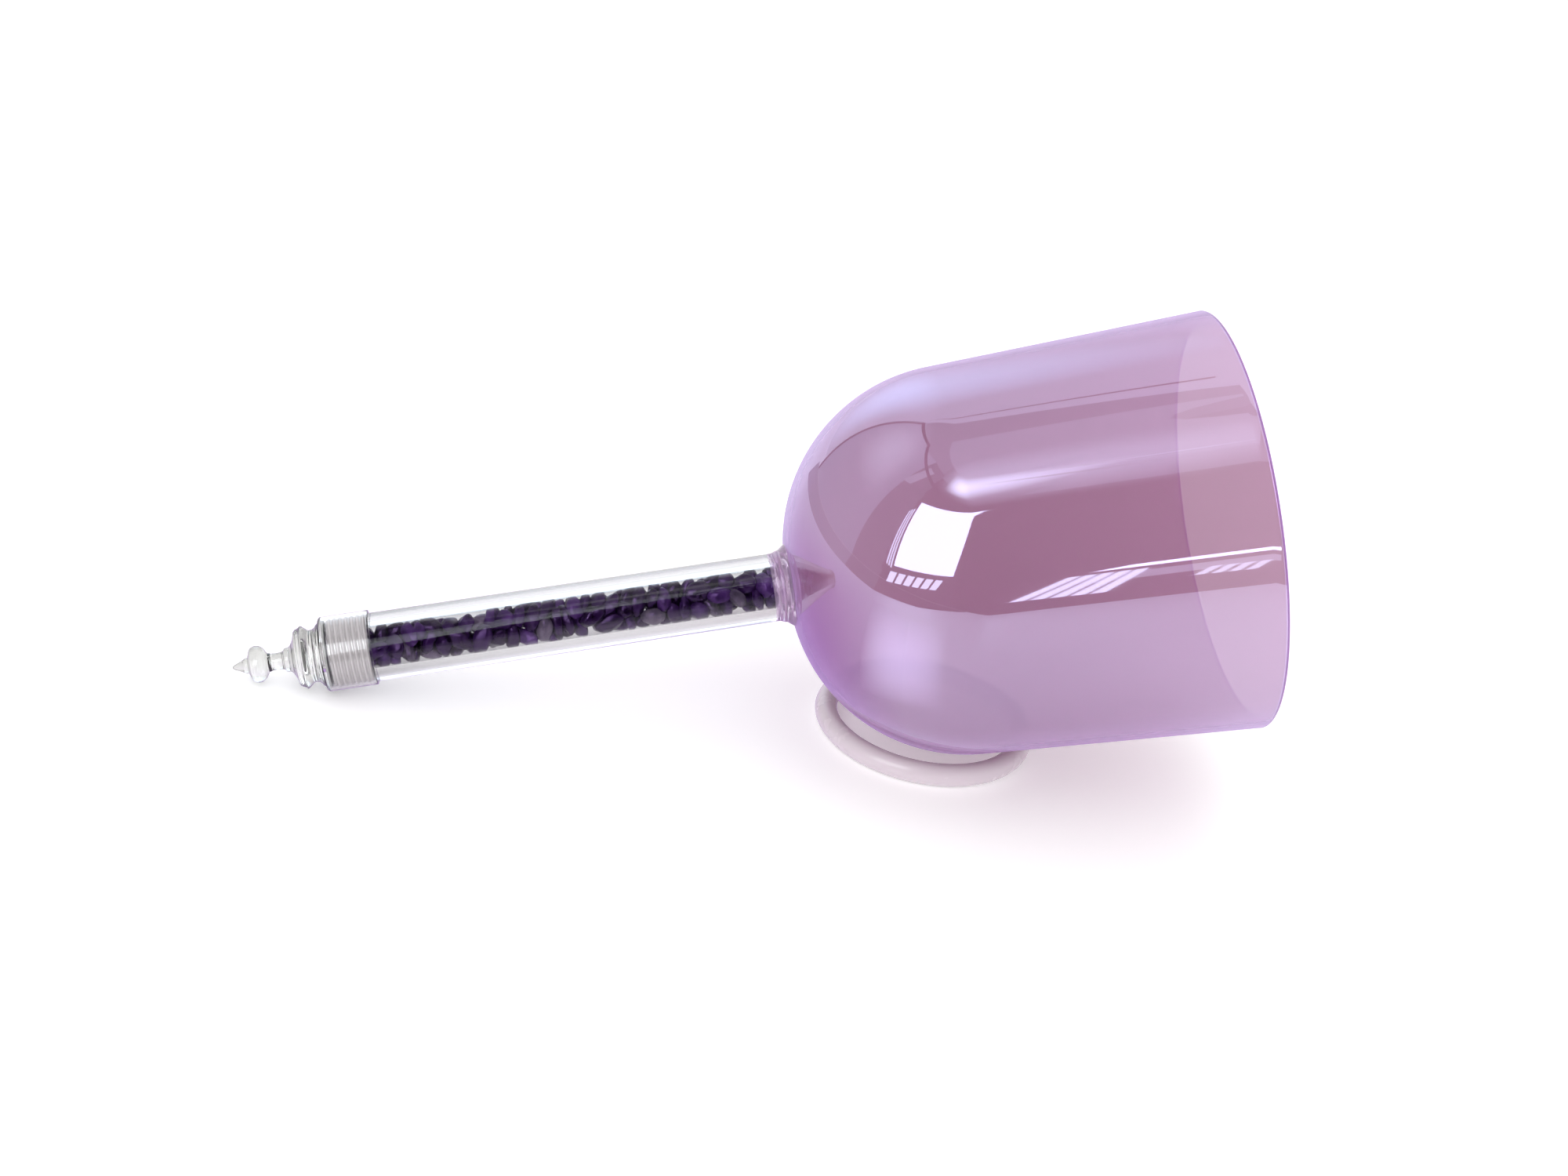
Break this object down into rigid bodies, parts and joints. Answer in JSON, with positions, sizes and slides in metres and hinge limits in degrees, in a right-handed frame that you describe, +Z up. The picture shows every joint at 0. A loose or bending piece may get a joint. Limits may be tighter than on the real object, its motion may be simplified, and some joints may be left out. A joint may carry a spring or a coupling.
{
  "type": "handheld crystal singing bowl",
  "caption": "Deep tinted quartz singing bowl on a clear tube handle filled with amethyst chips, with a finial screw cap, lying on its side in a silicone support ring.",
  "frame": {"origin": "on the floor, under the middle of the object's length and width, as it lies in its ring", "axes": "+Z up; +X along the floor from the handle's finial towards the bowl's mouth; the bowl's own axis rises 15.15 degrees from +X"},
  "size_m": [0.4294, 0.1778, 0.2007],
  "materials": {
    "tinted_quartz": "polished, amethyst-tinted and slightly milky",
    "clear_quartz": "polished",
    "clear_glass": "fire-polished",
    "clear_plastic": "clear, gloss",
    "milky_plastic": "translucent, satin",
    "seal_silicone": "translucent, matte",
    "ring_silicone": "translucent, satin",
    "amethyst_deep": "tumbled, polished",
    "amethyst_violet": "tumbled, polished",
    "amethyst_pale": "tumbled, polished"
  },
  "bodies": {
    "ring": {"support_ring": "ring_silicone"},
    "bowl": {"bowl_shell": "tinted_quartz", "handle_foot": "tinted_quartz", "handle_tube": "clear_quartz", "thread_sleeve": "milky_plastic", "chips_deep_01": "amethyst_deep", "chips_deep_02": "amethyst_deep", "chips_deep_03": "amethyst_deep", "chips_deep_04": "amethyst_deep", "chips_deep_05": "amethyst_deep", "chips_deep_06": "amethyst_deep", "chips_deep_07": "amethyst_deep", "chips_deep_08": "amethyst_deep", "chips_deep_09": "amethyst_deep", "chips_deep_10": "amethyst_deep", "chips_deep_11": "amethyst_deep", "chips_deep_12": "amethyst_deep", "chips_deep_13": "amethyst_deep", "chips_deep_14": "amethyst_deep", "chips_deep_15": "amethyst_deep", "chips_deep_16": "amethyst_deep", "chips_pale_01": "amethyst_pale", "chips_pale_02": "amethyst_pale", "chips_pale_03": "amethyst_pale", "chips_pale_04": "amethyst_pale", "chips_pale_05": "amethyst_pale", "chips_pale_06": "amethyst_pale", "chips_pale_07": "amethyst_pale", "chips_pale_08": "amethyst_pale", "chips_pale_09": "amethyst_pale", "chips_pale_10": "amethyst_pale", "chips_pale_11": "amethyst_pale", "chips_pale_12": "amethyst_pale", "chips_pale_13": "amethyst_pale", "chips_pale_14": "amethyst_pale", "chips_pale_15": "amethyst_pale", "chips_violet_01": "amethyst_violet", "chips_violet_02": "amethyst_violet", "chips_violet_03": "amethyst_violet", "chips_violet_04": "amethyst_violet", "chips_violet_05": "amethyst_violet", "chips_violet_06": "amethyst_violet", "chips_violet_07": "amethyst_violet", "chips_violet_08": "amethyst_violet", "chips_violet_09": "amethyst_violet", "chips_violet_10": "amethyst_violet", "chips_violet_11": "amethyst_violet", "chips_violet_12": "amethyst_violet", "chips_violet_13": "amethyst_violet", "chips_violet_14": "amethyst_violet", "chips_violet_15": "amethyst_violet", "chips_violet_16": "amethyst_violet"},
    "seal": {"cap_seal": "seal_silicone"},
    "cap": {"screw_collar": "clear_plastic", "finial": "clear_glass"}
  },
  "joints": [
    {"name": "lift_off", "type": "slide", "parent": "ring", "child": "bowl", "axis": [0, 0, 1], "range_m": [0, 0.15]},
    {"name": "cap_travel", "type": "slide", "parent": "bowl", "child": "seal", "axis": [-0.9652, 0, -0.2613], "range_m": [0, 0.0165]},
    {"name": "cap_turn", "type": "hinge", "parent": "seal", "child": "cap", "pos_m": [-0.17897, 0, 0.0147], "axis": [-0.9652, 0, -0.2613], "range_deg": [0, 2520]}
  ],
  "couplings": [
    {"joint": "cap_travel", "follows": "cap_turn", "m_per_rad": 0.00037401}
  ]
}
